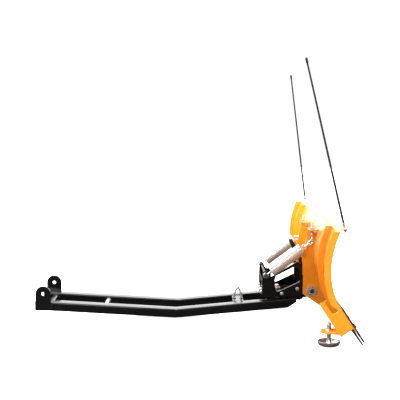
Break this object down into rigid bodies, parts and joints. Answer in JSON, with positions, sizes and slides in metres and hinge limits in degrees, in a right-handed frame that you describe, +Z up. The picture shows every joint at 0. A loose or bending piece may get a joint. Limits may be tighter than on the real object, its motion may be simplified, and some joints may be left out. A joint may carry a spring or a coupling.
{
  "type": "atv plow blade",
  "caption": "Snow plow blade on a bent two-rail push frame, with a swivel yoke, spring trip, lock lever, skid shoes and edge markers.",
  "frame": {"origin": "centre of the bounding box at floor level, on the plow's centre plane", "axes": "+X is the driving direction, +Y is the driver's left, +Z is up; the blade is square to X and standing on its skid shoes"},
  "size_m": [1.4024, 1.32, 1.1458],
  "materials": {
    "black_paint": "gloss black paint",
    "orange_paint": "gloss orange powder coat",
    "zinc": "zinc plated steel",
    "spring_steel": "bright zinc plated spring wire",
    "dark_steel": "black oxide steel",
    "cast_steel": "bare cast steel",
    "black_plastic": "matt black plastic"
  },
  "bodies": {
    "push_frame": {"right_rail": "black_paint", "right_rail_cap": "black_plastic", "right_mount_lug": "black_paint", "left_rail": "black_paint", "left_rail_cap": "black_plastic", "left_mount_lug": "black_paint", "rear_cross_tube": "black_paint", "middle_cross_tube": "zinc", "lift_beam": "black_paint", "lift_hoop": "zinc", "swivel_plate": "black_paint", "kingpin_bolt": "zinc", "kingpin_spacer": "cast_steel", "kingpin_nut": "zinc"},
    "yoke": {"right_yoke_plate": "black_paint", "left_yoke_plate": "black_paint", "yoke_floor_plate": "black_paint", "yoke_tie_plate": "black_paint", "spring_anchor_rod": "dark_steel", "latch_post": "black_paint", "pivot_tube": "black_paint", "right_trip_spring": "spring_steel", "left_trip_spring": "spring_steel"},
    "lock_pin": {"lock_pin": "zinc", "lever_pivot_pin": "dark_steel"},
    "lock_lever": {"lock_lever": "black_paint", "lever_grip": "black_plastic"},
    "right_skid": {"right_skid_shoe": "cast_steel"},
    "left_skid": {"left_skid_shoe": "cast_steel"},
    "blade": {"right_chain_link_lower": "zinc", "right_chain_link_upper": "zinc", "right_eyebolt": "zinc", "right_eyebolt_nut": "zinc", "left_chain_link_lower": "zinc", "left_chain_link_upper": "zinc", "left_eyebolt": "zinc", "left_eyebolt_nut": "zinc", "moldboard": "orange_paint", "right_end_plate": "orange_paint", "right_side_rib": "orange_paint", "right_centre_rib": "orange_paint", "right_spring_shelf": "orange_paint", "left_end_plate": "orange_paint", "left_side_rib": "orange_paint", "left_centre_rib": "orange_paint", "left_spring_shelf": "orange_paint", "pivot_shaft": "dark_steel", "right_pivot_washer": "zinc", "left_pivot_washer": "zinc", "wear_bar": "dark_steel", "backing_bar": "dark_steel", "right_skid_bracket": "orange_paint", "left_skid_bracket": "orange_paint", "right_marker_rod": "black_plastic", "right_marker_base": "zinc", "right_marker_nut": "zinc", "left_marker_rod": "black_plastic", "left_marker_base": "zinc", "left_marker_nut": "zinc"}
  },
  "joints": [
    {"name": "blade_swivel", "type": "hinge", "parent": "push_frame", "child": "yoke", "pos_m": [0.41, 0, 0.093], "axis": [0, 0, 1], "range_deg": [-30, 30]},
    {"name": "blade_trip", "type": "hinge", "parent": "yoke", "child": "blade", "pos_m": [0.558, 0, 0.126], "axis": [0, 1, 0], "range_deg": [0, 35], "stiffness_Nm_per_rad": 300, "springref_deg": -11.46, "deforming": ["right_trip_spring", "left_trip_spring"]},
    {"name": "lock_pin_drop", "type": "slide", "parent": "yoke", "child": "lock_pin", "axis": [0, 0, 1], "range_m": [-0.014, 0]},
    {"name": "lock_lever_turn", "type": "hinge", "parent": "lock_pin", "child": "lock_lever", "pos_m": [0.516, 0, 0.2543], "axis": [0, -1, 0], "range_deg": [0, 70]},
    {"name": "right_skid_height", "type": "slide", "parent": "blade", "child": "right_skid", "axis": [0, 0, 1], "range_m": [-0.018, 0]},
    {"name": "left_skid_height", "type": "slide", "parent": "blade", "child": "left_skid", "axis": [0, 0, 1], "range_m": [-0.018, 0]}
  ],
  "couplings": [
    {"joint": "lock_lever_turn", "follows": "lock_pin_drop", "rad_per_m": -87.266}
  ]
}
